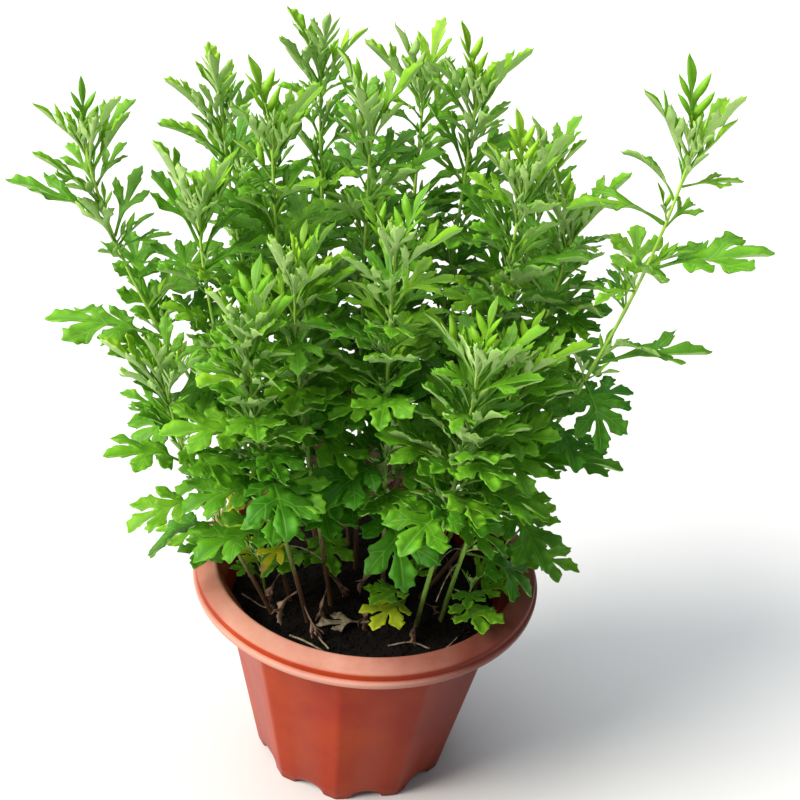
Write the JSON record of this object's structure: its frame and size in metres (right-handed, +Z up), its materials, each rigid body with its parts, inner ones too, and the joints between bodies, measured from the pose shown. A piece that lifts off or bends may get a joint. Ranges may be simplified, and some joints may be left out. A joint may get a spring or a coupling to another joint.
{
  "type": "potted mugwort",
  "caption": "Mugwort plant with lobed green leaves on upright stems, standing in soil in a ten-sided terracotta-coloured plastic pot.",
  "frame": {"origin": "centre of the pot's flat foot disc, on the surface that the pot stands on", "axes": "+Z up along the pot's axis, -Y towards the viewer of the picture, +X to the viewer's right"},
  "size_m": [0.4604, 0.285, 0.5287],
  "materials": {
    "pot_plastic": "satin",
    "soil": "matte",
    "foliage": "satin",
    "dry_leaf": "matte"
  },
  "bodies": {
    "root": {"pot": "pot_plastic", "soil": "soil", "stem_left_outer": "foliage", "stem_right_outer": "foliage", "stem_left_back": "foliage", "stem_back_left": "foliage", "stem_left_inner": "foliage", "stem_centre_back": "foliage", "stem_back_right": "foliage", "stem_right_back": "foliage", "stem_right_inner": "foliage", "stem_right_middle": "foliage", "stem_left_middle": "foliage", "stem_centre_front": "foliage", "stem_front_left": "foliage", "stem_left_front": "foliage", "stem_front_right": "foliage", "stem_left_low": "foliage", "stem_right_low": "foliage", "stem_rear_left": "foliage", "stem_rear_right": "foliage", "shoot_left": "foliage", "shoot_front_left": "foliage", "shoot_front": "foliage", "shoot_front_right": "foliage", "shoot_right": "foliage", "shoot_rear": "foliage", "withered_leaf": "dry_leaf"}
  },
  "joints": []
}
